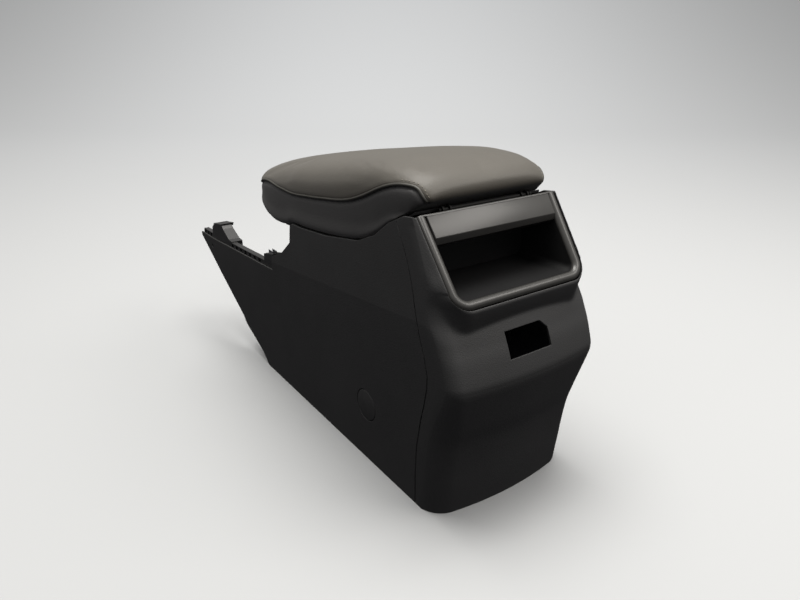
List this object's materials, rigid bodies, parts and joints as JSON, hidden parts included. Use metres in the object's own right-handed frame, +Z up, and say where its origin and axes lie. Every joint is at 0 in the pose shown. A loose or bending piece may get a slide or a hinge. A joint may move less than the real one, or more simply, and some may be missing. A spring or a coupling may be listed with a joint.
{
  "type": "car center console",
  "caption": "Rear floor console of a car with moulded side panels, a slanted rear panel with an open tray and a socket cut-out, a storage bin, and a padded armrest that hinges up.",
  "frame": {"origin": "middle of the console's footprint box, on the floor", "axes": "+X the car's right, +Y its front, +Z up"},
  "size_m": [0.207, 0.7146, 0.368],
  "materials": {
    "panel_plastic": "fine leather grain, matt",
    "frame_plastic": "smooth satin",
    "inner_plastic": "as moulded",
    "leatherette": "fine grain, soft sheen",
    "foam": "open foam",
    "rubber_mat": "matt",
    "steel": "zinc plated",
    "screw_steel": "dark zinc",
    "spring_steel": "bright"
  },
  "bodies": {
    "console": {"side_panel_left": "panel_plastic", "side_panel_right": "panel_plastic", "rear_panel": "panel_plastic", "rear_tray": "frame_plastic", "storage_bin": "inner_plastic", "bin_mat": "rubber_mat", "floor_sleeves": "steel", "screw_cap_left": "panel_plastic", "screw_cap_right": "panel_plastic", "front_crossmember": "inner_plastic", "rail_left": "inner_plastic", "rail_right": "inner_plastic", "rail_clips": "spring_steel", "panel_screws": "screw_steel", "cross_screws": "screw_steel", "hinge_bracket": "steel", "bracket_screws": "screw_steel", "hinge_pin": "spring_steel", "striker": "steel", "bumpers": "rubber_mat"},
    "armrest": {"armrest_cover": "leatherette", "armrest_foam": "foam", "armrest_base": "inner_plastic", "armrest_liner": "inner_plastic", "hinge_arm_left": "steel", "hinge_arm_right": "steel", "arm_screws": "screw_steel", "liner_screws": "screw_steel", "latch_pin": "spring_steel"},
    "latch": {"latch_lever": "inner_plastic"}
  },
  "joints": [
    {"name": "armrest_hinge", "type": "hinge", "parent": "console", "child": "armrest", "pos_m": [0, -0.26675, 0.325], "axis": [1, 0, 0], "range_deg": [0, 60]},
    {"name": "latch_pivot", "type": "hinge", "parent": "armrest", "child": "latch", "pos_m": [0, 0.00925, 0.239], "axis": [1, 0, 0], "range_deg": [0, 12], "stiffness_Nm_per_rad": 0.05}
  ]
}
